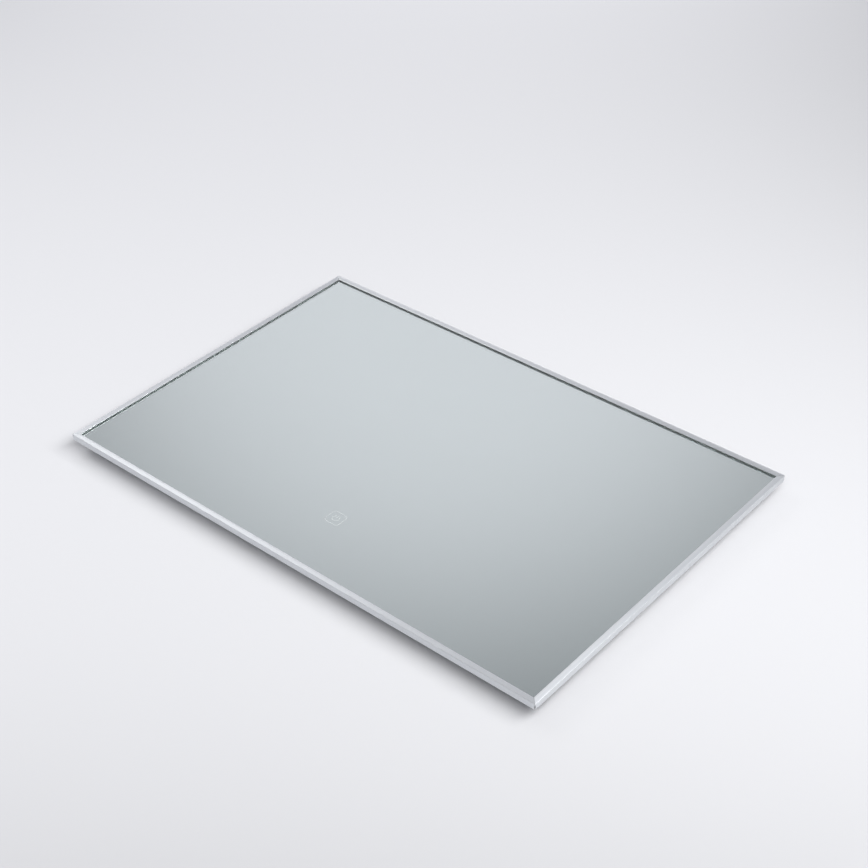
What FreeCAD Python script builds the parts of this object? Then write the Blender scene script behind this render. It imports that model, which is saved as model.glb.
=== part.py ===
"""Backlit bathroom mirror in a mitred aluminium frame, built piece by piece, in millimetres.

The mirror lies on its back. +Z points out of the mirror face, +X along the long side and +Y to
the edge that is uppermost on the wall. The origin is the centre of the plane of the wall
bumpers, which is the plane of the wall.
"""
import FreeCAD
import Part
import Sketcher
import math
import os
from FreeCAD import Placement, Rotation, Vector

DRIVING_SIZES = {
    # whole object
    "mirror_length": 900,
    "mirror_height": 600,
    "total_depth": 35,
    # frame extrusion
    "frame_depth": 10,
    "frame_face": 8.9,
    "frame_wall": 1.5,
    "frame_inner_wall": 1,
    "frame_back_wall": 0.8,
    "frame_edge_radius": 0.6,
    "lip_thickness": 1,
    "bevel_width": 2.5,
    "bevel_drop": 0.4,
    "groove_web": 0.8,
    "mitre_gap": 0.3,
    "undercut_gap": 1.3,
    "undercut_height": 7,
    # corner keys
    "key_arm": 32,
    "key_screw_along": 22,
    "key_clearance": 0.1,
    "grub_screw_radius": 1.4,
    "grub_screw_clearance": 0.08,
    "key_access_radius": 2,
    # pane and what is bonded to it
    "glass_thickness": 5,
    "pane_clearance": 1,
    "coating_thickness": 0.1,
    "film_thickness": 0.2,
    "glazing_tape_thickness": 0.5,
    "glazing_tape_inset": 0.4,
    # touch symbol
    "icon_x": 1.2,
    "icon_above_edge": 112.4,
    "icon_width": 26.5,
    "icon_height": 26,
    "icon_corner": 6,
    "icon_line": 0.8,
    "power_ring_radius": 5.5,
    "power_stem": 7.5,
    "power_line": 1,
    "power_gap": 6,
    # back box
    "chassis_inset": 45,
    "sheet_thickness": 1,
    "flange_width": 14,
    "foam_tape_thickness": 1,
    "foam_tape_margin": 1,
    "cover_thickness": 1,
    "cover_margin": 1,
    "bumper_thickness": 3,
    "bumper_radius": 8,
    "bumper_inset_x": 115,
    "bumper_inset_y": 26,
    "brace_inset": 105,
    "brace_width": 26,
    "brace_depth": 12,
    "brace_pad_length": 40,
    "brace_pad_width": 20,
    # screws of the back cover
    "cover_screw_radius": 1.45,
    "cover_screw_length": 6,
    "cover_screw_end": 16,
    "screw_hole_clearance": 0.1,
    "screw_head_radius": 3,
    "screw_head_height": 1.7,
    "screw_recess": 3.4,
    "screw_recess_width": 0.8,
    # hangers
    "hanger_inset_x": 55,
    "hanger_inset_y": 55,
    "hanger_length": 60,
    "hanger_height": 46,
    "hanger_thickness": 1.5,
    "keyhole_radius": 5.5,
    "keyhole_slot_radius": 2.75,
    "keyhole_travel": 12,
    "keyhole_cover_margin": 1,
    "rivet_radius": 1.6,
    "rivet_head_radius": 3,
    "rivet_head_height": 0.9,
    "rivet_tail_radius": 2.4,
    "rivet_edge": 6,
    # vents
    "vent_length": 30,
    "vent_width": 3,
    "vent_pitch": 8,
    "vent_inset_x": 255,
    "vent_inset_y": 65,
    # light channels
    "channel_height": 13,
    "channel_depth": 8,
    "channel_wall": 1,
    "channel_setback": 15,
    "channel_tape_thickness": 0.5,
    "channel_tape_width": 10,
    "end_cap_thickness": 1.5,
    "diffuser_thickness": 1.5,
    "diffuser_clearance": 0.1,
    "strip_width": 10,
    "strip_thickness": 0.4,
    "led_length": 3.5,
    "led_width": 2.8,
    "led_height": 0.8,
    "led_pitch": 25,
    # leads
    "lead_radius": 1.2,
    "lead_hole_clearance": 0.2,
    "lead_landing": 5,
    "jumper_gap": 0.5,
    "clip_wall": 1.6,
    "clip_length": 6,
    "clip_distance": 26,
    "bush_wall": 1,
    "feed_tail": 40,
    "feed_ramp": 45,
    "touch_exit_offset": 60,
    "touch_tail": 22,
    "touch_ramp": 32,
    # driver
    "driver_brace_gap": 12,
    "driver_y": 0,
    "driver_length": 180,
    "driver_width": 50,
    "driver_height": 19,
    "driver_wall": 2,
    "driver_ear": 12,
    "driver_ear_width": 26,
    "driver_ear_offset": 12,
    "driver_boss": 7,
    "board_thickness": 1.6,
    "board_standoff": 2.5,
    "board_post_radius": 2.5,
    "board_post_inset_x": 20,
    "board_post_inset_y": 8,
    "board_clearance": 1,
    "lid_screw_radius": 1.2,
    "lid_screw_length": 9,
    "lid_screw_head_radius": 2.3,
    "lid_screw_head_height": 1.4,
    "lid_screw_recess": 2.6,
    "transformer_x": 12,
    "transformer_length": 22,
    "transformer_depth": 14,
    "transformer_height": 10,
    "transformer_yoke": 2.5,
    "transformer_leg": 6,
    "transformer_window": 4.5,
    "winding_overhang": 3,
    "capacitor_x": -31,
    "capacitor_pitch": 11,
    "output_capacitor_x": 58,
    "capacitor_radius": 4,
    "capacitor_length": 18,
    "choke_x": -62,
    "choke_y": 8,
    "choke_radius": 6,
    "choke_wire_radius": 2.6,
    # studs and nuts
    "stud_radius": 2,
    "stud_height": 9,
    "nut_flats": 7,
    "nut_thickness": 3.2,
    "earth_stud_across": 24,
    "earth_stud_along": 40,
    "earth_tag_radius": 4.2,
    "earth_tag_thickness": 0.8,
    "earth_barrel_wall": 0.7,
    "earth_barrel_length": 7,
    "earth_barrel_lift": 0.2,
    "earth_straight": 4,
    # mains terminal block and cord inlet
    "terminal_driver_gap": 41,
    "terminal_length": 16,
    "terminal_width": 36,
    "terminal_height": 13,
    "terminal_pitch": 10,
    "terminal_ear": 9,
    "terminal_ear_thickness": 3,
    "terminal_screw_offset": 4,
    "terminal_screw_radius": 1.8,
    "terminal_screw_slot": 0.7,
    "mains_straight": 9,
    "mains_spread": 1.5,
    "inlet_terminal_gap": 30,
    "grommet_bore_radius": 3.6,
    "grommet_groove_radius": 6,
    "grommet_flange_radius": 8,
    "grommet_flange": 1.5,
    # touch sensor
    "sensor_size": 34,
    "sensor_depth": 8,
    "sensor_wall": 1.5,
    "sensor_clearance": 0.2,
    "sensor_board_thickness": 1.2,
    "electrode_thickness": 0.2,
    "light_hole_radius": 2,
    "indicator_length": 3.2,
    "indicator_width": 2.6,
    "indicator_height": 0.9,
}

doc = FreeCAD.newDocument("backlit_mirror")
sheet = doc.addObject("Spreadsheet::Sheet", "Sizes")
for row, (alias, number) in enumerate(DRIVING_SIZES.items(), start=1):
    sheet.set(f"A{row}", str(number))
    sheet.setAlias(f"A{row}", alias)
doc.recompute()


class Size:
    """A length that keeps the spreadsheet expression it comes from together with its number."""

    def __init__(self, text, number):
        self.text = text
        self.number = number

    def __add__(self, other):
        other = as_size(other)
        return Size(f"({self.text} + {other.text})", self.number + other.number)

    def __sub__(self, other):
        other = as_size(other)
        return Size(f"({self.text} - {other.text})", self.number - other.number)

    def __mul__(self, other):
        other = as_size(other)
        return Size(f"({self.text} * {other.text})", self.number * other.number)

    def __truediv__(self, other):
        other = as_size(other)
        return Size(f"({self.text} / {other.text})", self.number / other.number)

    def __radd__(self, other):
        return as_size(other) + self

    def __rsub__(self, other):
        return as_size(other) - self

    def __rmul__(self, other):
        return as_size(other) * self

    def __neg__(self):
        return 0 - self

    def __float__(self):
        return float(self.number)


def as_size(value):
    """A plain number as a Size, or a Size as it is."""
    if isinstance(value, Size):
        return value
    return Size(f"{float(value):.6f}", float(value))


class Named:
    """The driving sizes as attributes, such as size.frame_depth."""


size = Named()
for alias in DRIVING_SIZES:
    setattr(size, alias, Size(f"Sizes.{alias}", float(sheet.get(alias))))


# ---------------------------------------------------------------- document helpers

SUB_PARTS = []


def bind(thing, prop, value):
    """Ties a property to the spreadsheet."""
    thing.setExpression(prop, as_size(value).text)


def place(thing, position):
    """Ties the place of an object to the spreadsheet."""
    for axis, value in zip("xyz", position):
        bind(thing, f".Placement.Base.{axis}", value)


def keep(thing, label):
    """Marks an object as a finished sub-part. Its label names its file."""
    thing.Label = label
    SUB_PARTS.append(thing)
    return thing


def box(name, dims, position):
    """A block with its lowest corner at position."""
    block = doc.addObject("Part::Box", name)
    for prop, value in zip(("Length", "Width", "Height"), dims):
        bind(block, prop, value)
    place(block, position)
    return block


def standing_box(name, dims, centre, bottom):
    """A block centred on centre in plan, standing on the level bottom."""
    x, y = (as_size(value) for value in centre)
    return box(name, dims, (x - dims[0] / 2, y - dims[1] / 2, bottom))


ALONG = {
    "X": Rotation(Vector(0, 0, 1), Vector(1, 0, 0)),
    "Y": Rotation(Vector(0, 0, 1), Vector(0, 1, 0)),
    "Z": Rotation(),
}


def cylinder(name, radius, height, position, along="Z"):
    """A round bar that starts at position and runs along a positive axis."""
    bar = doc.addObject("Part::Cylinder", name)
    bar.Placement = Placement(Vector(), ALONG[along])
    bind(bar, "Radius", radius)
    bind(bar, "Height", height)
    place(bar, position)
    return bar


def hexagon(name, flats, height, position):
    """A hexagonal prism with the given size across flats."""
    prism = doc.addObject("Part::Prism", name)
    prism.Polygon = 6
    bind(prism, "Circumradius", flats / math.sqrt(3))
    bind(prism, "Height", height)
    place(prism, position)
    return prism


def cut(name, base, *tools):
    """base with every tool taken away."""
    result = doc.addObject("Part::Cut", name)
    result.Base = base
    result.Tool = tools[0] if len(tools) == 1 else together(f"{name}_tools", tools)
    return result


def fuse(name, *pieces):
    """One solid from pieces that meet."""
    result = doc.addObject("Part::MultiFuse", name)
    result.Shapes = list(pieces)
    return result


def together(name, pieces):
    """Separate solids held in one object."""
    result = doc.addObject("Part::Compound", name)
    result.Links = list(pieces)
    return result


# ---------------------------------------------------------------- part design helpers


def new_body(name, position=(0, 0, 0), turn=0):
    """A body at a place tied to the spreadsheet, turned about Z by whole quarter turns."""
    body = doc.addObject("PartDesign::Body", name)
    body.Placement = Placement(Vector(), Rotation(Vector(0, 0, 1), turn))
    place(body, position)
    return body


def sketch_on(body, name, role, centre, lift, angle):
    """An empty sketch on one of the body's origin planes, with its own centre and height."""
    sketch = body.newObject("Sketcher::SketchObject", name)
    plane = next(item for item in body.Origin.OriginFeatures if item.Role == role)
    sketch.AttachmentSupport = [(plane, "")]
    sketch.MapMode = "FlatFace"
    sketch.AttachmentOffset = Placement(Vector(), Rotation(Vector(0, 0, 1), angle))
    for axis, value in zip("xyz", (centre[0], centre[1], lift)):
        bind(sketch, f".AttachmentOffset.Base.{axis}", value)
    return sketch


def rectangle(body, name, length, width, centre=(0, 0), lift=0, role="XY_Plane", angle=0):
    """A sketched rectangle centred on centre."""
    sketch = sketch_on(body, name, role, centre, lift, angle)
    half_x = float(length) / 2
    half_y = float(width) / 2
    corners = [Vector(-half_x, -half_y), Vector(half_x, -half_y)]
    corners += [Vector(half_x, half_y), Vector(-half_x, half_y)]
    for index in range(4):
        sketch.addGeometry(Part.LineSegment(corners[index], corners[(index + 1) % 4]))
    for index in range(4):
        sketch.addConstraint(Sketcher.Constraint("Coincident", index, 2, (index + 1) % 4, 1))
    for index, kind in enumerate(("Horizontal", "Vertical") * 2):
        sketch.addConstraint(Sketcher.Constraint(kind, index))
    sketch.addConstraint(Sketcher.Constraint("Symmetric", 0, 1, 2, 1, -1, 1))
    for index, axis, value in ((0, "X", length), (1, "Y", width)):
        number = sketch.addConstraint(
            Sketcher.Constraint(f"Distance{axis}", index, 1, index, 2, float(value))
        )
        sketch.renameConstraint(number, f"across_{axis.lower()}")
        bind(sketch, f"Constraints.across_{axis.lower()}", value)
    return sketch


def circles(body, name, radius, centres, lift=0, role="XY_Plane"):
    """A sketch of equal circles. Each centre is tied to the sheet on both axes."""
    sketch = sketch_on(body, name, role, (0, 0), lift, 0)
    for index, centre in enumerate(centres):
        middle = Vector(float(centre[0]), float(centre[1]))
        sketch.addGeometry(Part.Circle(middle, Vector(0, 0, 1), float(radius)))
        size_of = sketch.addConstraint(Sketcher.Constraint("Radius", index, float(radius)))
        sketch.renameConstraint(size_of, f"radius_{index}")
        bind(sketch, f"Constraints.radius_{index}", radius)
        for axis, value in zip("XY", centre):
            tag = f"centre_{axis.lower()}_{index}"
            number = sketch.addConstraint(
                Sketcher.Constraint(f"Distance{axis}", -1, 1, index, 3, float(value))
            )
            sketch.renameConstraint(number, tag)
            bind(sketch, f"Constraints.{tag}", value)
    return sketch


def pad(body, profile, height):
    """Raises a profile along its normal."""
    feature = body.newObject("PartDesign::Pad", f"{profile.Name}_pad")
    feature.Profile = profile
    bind(feature, "Length", height)
    doc.recompute()
    return feature


def pocket(body, profile, depth=None):
    """Cuts a profile upwards by depth, or right through both ways. It has to take material."""
    before = body.Shape.Volume
    feature = body.newObject("PartDesign::Pocket", f"{profile.Name}_cut")
    feature.Profile = profile
    if depth is None:
        feature.Type = "ThroughAll"
        feature.Midplane = True
    else:
        feature.Reversed = True
        bind(feature, "Length", depth)
    doc.recompute()
    if body.Shape.Volume >= before:
        raise RuntimeError(f"{feature.Name} cuts nothing")
    return feature


def row_of(body, feature, direction, span, count):
    """Repeats a pocket in a row along an axis of its sketch."""
    pattern = body.newObject("PartDesign::LinearPattern", f"{feature.Name}_row")
    pattern.Originals = [feature]
    pattern.Direction = (feature.Profile[0], [direction])
    pattern.Occurrences = count
    bind(pattern, "Length", span)
    body.Tip = pattern
    doc.recompute()
    return pattern


def edges_where(shape, test):
    """Names of the edges whose bounding box passes a test."""
    return [f"Edge{number}" for number, edge in enumerate(shape.Edges, 1) if test(edge.BoundBox)]


def close_to(first, second):
    """True for two levels that are the same."""
    return abs(float(first) - float(second)) < 1e-4


def sheet_body(label, length, width, thickness, bottom, centre=(0, 0)):
    """A body that starts as a flat rectangular sheet."""
    body = new_body(label, (centre[0], centre[1], bottom))
    pad(body, rectangle(body, f"{label}_outline", length, width), thickness)
    return keep(body, label)


# ---------------------------------------------------------------- levels and fits

half_length = size.mirror_length / 2
half_height = size.mirror_height / 2
frame_back = size.total_depth - size.frame_depth
lip_back = size.total_depth - size.lip_thickness
glass_back = lip_back - size.glass_thickness
coating_back = glass_back - size.coating_thickness
film_back = coating_back - size.film_thickness
web_top = film_back - size.glazing_tape_thickness
web_bottom = web_top - size.groove_web
key_slot_bottom = frame_back + size.frame_back_wall
key_slot_height = web_bottom - key_slot_bottom
key_slot_width = size.frame_face - size.frame_wall - size.frame_inner_wall

pane_edge = size.frame_wall + size.pane_clearance
pane_length = size.mirror_length - 2 * pane_edge
pane_height = size.mirror_height - 2 * pane_edge

cover_back = size.bumper_thickness
cover_top = cover_back + size.cover_thickness
ring_back = cover_top
ring_top = film_back - size.foam_tape_thickness
ring_depth = ring_top - ring_back
flange_top = ring_back + size.sheet_thickness
flange_bottom = ring_top - size.sheet_thickness
ring_length = size.mirror_length - 2 * size.chassis_inset
ring_height = size.mirror_height - 2 * size.chassis_inset
ring_half_length = ring_length / 2
ring_half_height = ring_height / 2

icon_y = size.icon_above_edge - half_height


# ---------------------------------------------------------------- frame


def frame_bar(label, length, position, turn):
    """A mitred length of the extrusion. Its outer face lies on local y = 0, its back on z = 0."""
    bar = new_body(label, position, turn)
    face = size.frame_face
    depth = size.frame_depth
    outline = rectangle(bar, f"{label}_outline", length, face, (0, face / 2))
    block = pad(bar, outline, depth)

    rounded = bar.newObject("PartDesign::Fillet", f"{label}_outer_edge")
    rounded.Base = (
        block,
        edges_where(block.Shape, lambda b: close_to(b.YMax, 0) and close_to(b.ZMin, depth)),
    )
    bind(rounded, "Radius", size.frame_edge_radius)
    doc.recompute()

    bevelled = bar.newObject("PartDesign::Chamfer", f"{label}_inner_bevel")
    bevelled.Base = (
        rounded,
        edges_where(rounded.Shape, lambda b: close_to(b.YMin, face) and close_to(b.ZMin, depth)),
    )
    bevelled.ChamferType = "Two distances"
    bind(bevelled, "Size", size.bevel_width)
    bind(bevelled, "Size2", size.bevel_drop)
    doc.recompute()

    groove_height = lip_back - web_top
    groove_centre = (
        (size.frame_wall + face) / 2,
        (lip_back + web_top) / 2 - frame_back,
    )
    pocket(
        bar,
        rectangle(
            bar,
            f"{label}_groove",
            face - size.frame_wall,
            groove_height,
            groove_centre,
            role="YZ_Plane",
        ),
    )
    slot_centre = (
        size.frame_wall + key_slot_width / 2,
        size.frame_back_wall + key_slot_height / 2,
    )
    pocket(
        bar,
        rectangle(
            bar,
            f"{label}_key_slot",
            key_slot_width,
            key_slot_height,
            slot_centre,
            role="YZ_Plane",
        ),
    )

    access = [(side * (length / 2 - key_screw_place), slot_centre[0]) for side in (-1, 1)]
    pocket(
        bar,
        circles(bar, f"{label}_key_access", size.key_access_radius, access),
        size.frame_back_wall,
    )

    # Each mitre takes away what lies past a 45 degree line through the outer corner. Below the
    # face it is undercut, so that the joint closes at the face alone.
    blade = 6 * face
    reach = blade / 2 / math.sqrt(2)
    cuts = (("mitre", size.mitre_gap, None), ("undercut", size.undercut_gap, size.undercut_height))
    for name, gap, height in cuts:
        for side, angle in ((-1, 45), (1, -45)):
            middle = side * (length / 2 - gap / math.sqrt(2) + reach)
            outline = rectangle(
                bar,
                f"{label}_{name}_{'left' if side < 0 else 'right'}",
                blade,
                blade,
                (middle, reach),
                angle=angle,
            )
            pocket(bar, outline, height)
    return keep(bar, label)


key_screw_place = size.frame_wall + size.key_screw_along

frame_bar("frame_bottom_rail", size.mirror_length, (0, -half_height, frame_back), 0)
frame_bar("frame_right_stile", size.mirror_height, (half_length, 0, frame_back), 90)
frame_bar("frame_top_rail", size.mirror_length, (0, half_height, frame_back), 180)
frame_bar("frame_left_stile", size.mirror_height, (-half_length, 0, frame_back), 270)

CORNERS = ((-1, -1), (1, -1), (1, 1), (-1, 1))


def corner_pieces():
    """An angle plate in the slots of two bars at each corner, and its two grub screws."""
    clear = size.key_clearance
    arm_width = key_slot_width - 2 * clear
    plate_thickness = key_slot_height - clear
    outer = size.frame_wall + clear
    screw_line = size.frame_wall + key_slot_width / 2
    bottom = key_slot_bottom
    screw_bottom = frame_back
    screw_height = web_bottom - screw_bottom
    keys = []
    screws = []
    for number, (sx, sy) in enumerate(CORNERS, 1):
        corner_x = sx * (half_length - outer)
        corner_y = sy * (half_height - outer)
        along_x = box(
            f"key_{number}_x_arm",
            (size.key_arm, arm_width, plate_thickness),
            (
                corner_x - (size.key_arm if sx > 0 else 0),
                corner_y - (arm_width if sy > 0 else 0),
                bottom,
            ),
        )
        along_y = box(
            f"key_{number}_y_arm",
            (arm_width, size.key_arm, plate_thickness),
            (
                corner_x - (arm_width if sx > 0 else 0),
                corner_y - (size.key_arm if sy > 0 else 0),
                bottom,
            ),
        )
        places = (
            (sx * (half_length - key_screw_place), sy * (half_height - screw_line)),
            (sx * (half_length - screw_line), sy * (half_height - key_screw_place)),
        )
        holes = []
        for arm, (x, y) in enumerate(places, 1):
            holes.append(
                cylinder(
                    f"key_{number}_hole_{arm}",
                    size.grub_screw_radius + size.grub_screw_clearance,
                    plate_thickness,
                    (x, y, bottom),
                )
            )
            body = cylinder(
                f"grub_{number}_{arm}", size.grub_screw_radius, screw_height, (x, y, screw_bottom)
            )
            socket = hexagon(
                f"grub_{number}_{arm}_socket",
                size.grub_screw_radius,
                screw_height / 2,
                (x, y, screw_bottom),
            )
            screws.append(cut(f"grub_screw_{number}_{arm}", body, socket))
        keys.append(cut(f"corner_key_{number}", fuse(f"key_{number}_arms", along_x, along_y), *holes))
    keep(together("corner_key_set", keys), "corner_keys")
    keep(together("corner_key_screw_set", screws), "corner_key_screws")


corner_pieces()


# ---------------------------------------------------------------- pane and touch symbol


def rounded_block(name, length, width, radius, height, centre, bottom):
    """A block with round vertical edges, as two crossed blocks and four posts."""
    x, y = centre
    pieces = [
        standing_box(f"{name}_long", (length, width - 2 * radius, height), centre, bottom),
        standing_box(f"{name}_wide", (length - 2 * radius, width, height), centre, bottom),
    ]
    for number, (sx, sy) in enumerate(CORNERS, 1):
        post = (x + sx * (length / 2 - radius), y + sy * (width / 2 - radius), bottom)
        pieces.append(cylinder(f"{name}_post_{number}", radius, height, post))
    return fuse(name, *pieces)


def touch_symbol(prefix):
    """The three strokes of the symbol: a rounded square, an open ring and a stem."""
    x = size.icon_x
    y = icon_y
    thick = size.coating_thickness
    low = coating_back
    line = size.icon_line
    outer = rounded_block(
        f"{prefix}_square_outer",
        size.icon_width,
        size.icon_height,
        size.icon_corner,
        thick,
        (x, y),
        low,
    )
    inner = rounded_block(
        f"{prefix}_square_inner",
        size.icon_width - 2 * line,
        size.icon_height - 2 * line,
        size.icon_corner - line,
        thick,
        (x, y),
        low,
    )
    square = cut(f"{prefix}_square", outer, inner)

    half_line = size.power_line / 2
    disc = cylinder(f"{prefix}_ring_disc", size.power_ring_radius + half_line, thick, (x, y, low))
    core = cylinder(f"{prefix}_ring_core", size.power_ring_radius - half_line, thick, (x, y, low))
    gap = box(
        f"{prefix}_ring_gap",
        (size.power_gap, size.power_ring_radius * 2, thick),
        (x - size.power_gap / 2, y, low),
    )
    ring = cut(f"{prefix}_ring", disc, core, gap)
    stem = box(
        f"{prefix}_stem",
        (size.power_line, size.power_stem, thick),
        (x - half_line, y, low),
    )
    return [square, ring, stem]


glass = sheet_body("mirror_glass", pane_length, pane_height, size.glass_thickness, glass_back)
coating = standing_box(
    "coating_sheet", (pane_length, pane_height, size.coating_thickness), (0, 0), coating_back
)
keep(cut("coating_with_symbol", coating, *touch_symbol("symbol_gap")), "silver_coating")
keep(together("symbol_strokes", touch_symbol("symbol")), "touch_icon")

film = sheet_body("safety_film", pane_length, pane_height, size.film_thickness, film_back)
film_window = size.sensor_size + 2 * size.sensor_clearance
pocket(film, rectangle(film, "film_window", film_window, film_window, (size.icon_x, icon_y)))

tape_width = size.frame_face - pane_edge - size.glazing_tape_inset
glazing = sheet_body("glazing_tape", pane_length, pane_height, size.glazing_tape_thickness, web_top)
pocket(
    glazing,
    rectangle(
        glazing, "glazing_opening", pane_length - 2 * tape_width, pane_height - 2 * tape_width
    ),
)


# ---------------------------------------------------------------- back box

ring = new_body("chassis_ring", (0, 0, ring_back))
pad(ring, rectangle(ring, "ring_outline", ring_length, ring_height), ring_depth)
pocket(
    ring,
    rectangle(
        ring,
        "ring_opening",
        ring_length - 2 * size.flange_width,
        ring_height - 2 * size.flange_width,
    ),
)
pocket(
    ring,
    rectangle(
        ring,
        "ring_hollow",
        ring_length - 2 * size.sheet_thickness,
        ring_height - 2 * size.sheet_thickness,
        lift=size.sheet_thickness,
    ),
    ring_depth - 2 * size.sheet_thickness,
)
keep(ring, "chassis_ring")

screw_line_x = ring_half_length - size.flange_width / 2
screw_line_y = ring_half_height - size.flange_width / 2
screw_pitch_x = (screw_line_x - size.cover_screw_end) / 2
screw_pitch_y = screw_line_y / 2
COVER_SCREWS = [
    (step * screw_pitch_x, sign * screw_line_y) for sign in (-1, 1) for step in (-2, -1, 0, 1, 2)
]
COVER_SCREWS += [
    (sign * screw_line_x, step * screw_pitch_y) for sign in (-1, 1) for step in (-1, 1)
]
cover_hole_radius = size.cover_screw_radius + size.screw_hole_clearance
pocket(ring, circles(ring, "ring_screw_holes", cover_hole_radius, COVER_SCREWS), size.sheet_thickness)

brace_x = ring_half_length - size.brace_inset
brace_side = brace_x - size.brace_width / 2
driver_x = brace_side - size.driver_brace_gap - size.driver_length / 2
driver_left = driver_x - size.driver_length / 2
terminal_right = driver_left - size.terminal_driver_gap
terminal_x = terminal_right - size.terminal_length / 2
terminal_left = terminal_x - size.terminal_length / 2
inlet_x = terminal_left - size.inlet_terminal_gap - size.grommet_flange_radius
feed_x = driver_x
channel_level = (ring_back + ring_top) / 2
driver_floor = cover_top + size.driver_wall
board_bottom = driver_floor + size.board_standoff
board_top = board_bottom + size.board_thickness
lead_centre = board_top + size.lead_radius
lead_bore_radius = size.lead_radius + size.lead_hole_clearance
feed_hole_radius = lead_bore_radius + size.bush_wall
pocket(
    ring,
    circles(
        ring,
        "ring_feed_hole",
        feed_hole_radius,
        [(feed_x, channel_level - ring_back)],
        lift=ring_half_height - size.sheet_thickness,
        role="XZ_Plane",
    ),
    size.sheet_thickness,
)


def foam_tapes():
    """Four strips of foam tape between the ring's front flange and the pane."""
    width = size.flange_width - 2 * size.foam_tape_margin
    middle = size.flange_width / 2
    long_strip = (ring_length - 2 * size.foam_tape_margin, width, size.foam_tape_thickness)
    short_length = ring_height - 2 * size.flange_width - 2 * size.foam_tape_margin
    short_strip = (width, short_length, size.foam_tape_thickness)
    strips = []
    for sign, side in ((-1, "low"), (1, "high")):
        strips.append(
            standing_box(
                f"foam_long_{side}", long_strip, (0, sign * (ring_half_height - middle)), ring_top
            )
        )
        strips.append(
            standing_box(
                f"foam_short_{side}", short_strip, (sign * (ring_half_length - middle), 0), ring_top
            )
        )
    keep(together("foam_strips", strips), "chassis_foam_tape")


foam_tapes()


def braces():
    """Two folded channels across the box, open to the back, and a foam pad over each end."""
    span = ring_height - 2 * size.sheet_thickness
    top = flange_bottom
    bottom = top - size.brace_depth
    pads = []
    bars = []
    for sign, side in ((-1, "left"), (1, "right")):
        x = sign * brace_x
        blank = standing_box(
            f"brace_{side}_blank", (size.brace_width, span, size.brace_depth), (x, 0), bottom
        )
        hollow = standing_box(
            f"brace_{side}_hollow",
            (
                size.brace_width - 2 * size.sheet_thickness,
                span,
                size.brace_depth - size.sheet_thickness,
            ),
            (x, 0),
            bottom,
        )
        bars.append(cut(f"brace_{side}", blank, hollow))
        pad_offset = ring_half_height - size.flange_width - size.brace_pad_length
        for place_sign, where in ((-1, "low"), (0, "middle"), (1, "high")):
            pads.append(
                standing_box(
                    f"brace_pad_{side}_{where}",
                    (size.brace_pad_width, size.brace_pad_length, film_back - top),
                    (x, place_sign * pad_offset),
                    top,
                )
            )
    keep(together("brace_pair", bars), "cross_braces")
    keep(together("brace_pads", pads), "brace_foam_pads")


braces()


# ---------------------------------------------------------------- back cover and hangers

hanger_offset = ring_half_length - size.hanger_inset_x
hanger_y = ring_half_height - size.hanger_inset_y
HANGERS = ((-1, "left"), (1, "right"))


def cut_keyhole(body, name, centre, radius, slot_radius, travel):
    """A round entry with a slot above it that ends in a half round seat."""
    x, y = centre
    pocket(body, circles(body, f"{name}_entry", radius, [(x, y)]))
    pocket(
        body,
        rectangle(body, f"{name}_slot", 2 * slot_radius, travel, (x, y + travel / 2)),
    )
    pocket(body, circles(body, f"{name}_seat", slot_radius, [(x, y + travel)]))


def rivet_places(x):
    """The four rivets of a hanger plate centred on x."""
    across = size.hanger_length / 2 - size.rivet_edge
    up = size.hanger_height / 2 - size.rivet_edge
    return [(x + sx * across, hanger_centre_y + sy * up) for sx, sy in CORNERS]


hanger_centre_y = hanger_y + size.keyhole_travel / 2
cover = sheet_body(
    "back_cover",
    ring_length - 2 * size.cover_margin,
    ring_height - 2 * size.cover_margin,
    size.cover_thickness,
    cover_back,
)
pocket(cover, circles(cover, "cover_screw_holes", cover_hole_radius, COVER_SCREWS))
pocket(cover, circles(cover, "cover_cord_hole", size.grommet_groove_radius, [(inlet_x, 0)]))
rivet_hole_radius = size.rivet_radius + size.screw_hole_clearance
for sign, side in HANGERS:
    hanger_x = sign * hanger_offset
    cut_keyhole(
        cover,
        f"cover_keyhole_{side}",
        (hanger_x, hanger_y),
        size.keyhole_radius + size.keyhole_cover_margin,
        size.keyhole_slot_radius + size.keyhole_cover_margin,
        size.keyhole_travel,
    )
    pocket(cover, circles(cover, f"cover_rivets_{side}", rivet_hole_radius, rivet_places(hanger_x)))
VENT_COUNT = 9
vent_span = size.vent_pitch * (VENT_COUNT - 1)
for number, (sx, sy) in enumerate(CORNERS, 1):
    vent_x = sx * (ring_half_length - size.vent_inset_x) - vent_span / 2
    vent_y = sy * (ring_half_height - size.vent_inset_y)
    first = rectangle(
        cover, f"vent_{number}", size.vent_width, size.vent_length, (vent_x, vent_y)
    )
    row_of(cover, pocket(cover, first), "H_Axis", vent_span, VENT_COUNT)


def pan_screw(name, seat, points, radius, length, head_radius, head_height, recess):
    """A cross head screw whose head rests on seat. Its shank points up with 1, down with -1."""
    x, y, level = seat
    head_low = level - head_height if points > 0 else level
    shank_low = level if points > 0 else level - length
    recess_low = head_low if points > 0 else head_low + head_height / 2
    solid = fuse(
        f"{name}_solid",
        cylinder(f"{name}_head", head_radius, head_height, (x, y, head_low)),
        cylinder(f"{name}_shank", radius, length, (x, y, shank_low)),
    )
    slots = []
    for turn, (across, up) in enumerate(
        ((recess, size.screw_recess_width), (size.screw_recess_width, recess)), 1
    ):
        slots.append(
            standing_box(
                f"{name}_recess_{turn}", (across, up, head_height / 2), (x, y), recess_low
            )
        )
    return cut(name, solid, *slots)


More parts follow.
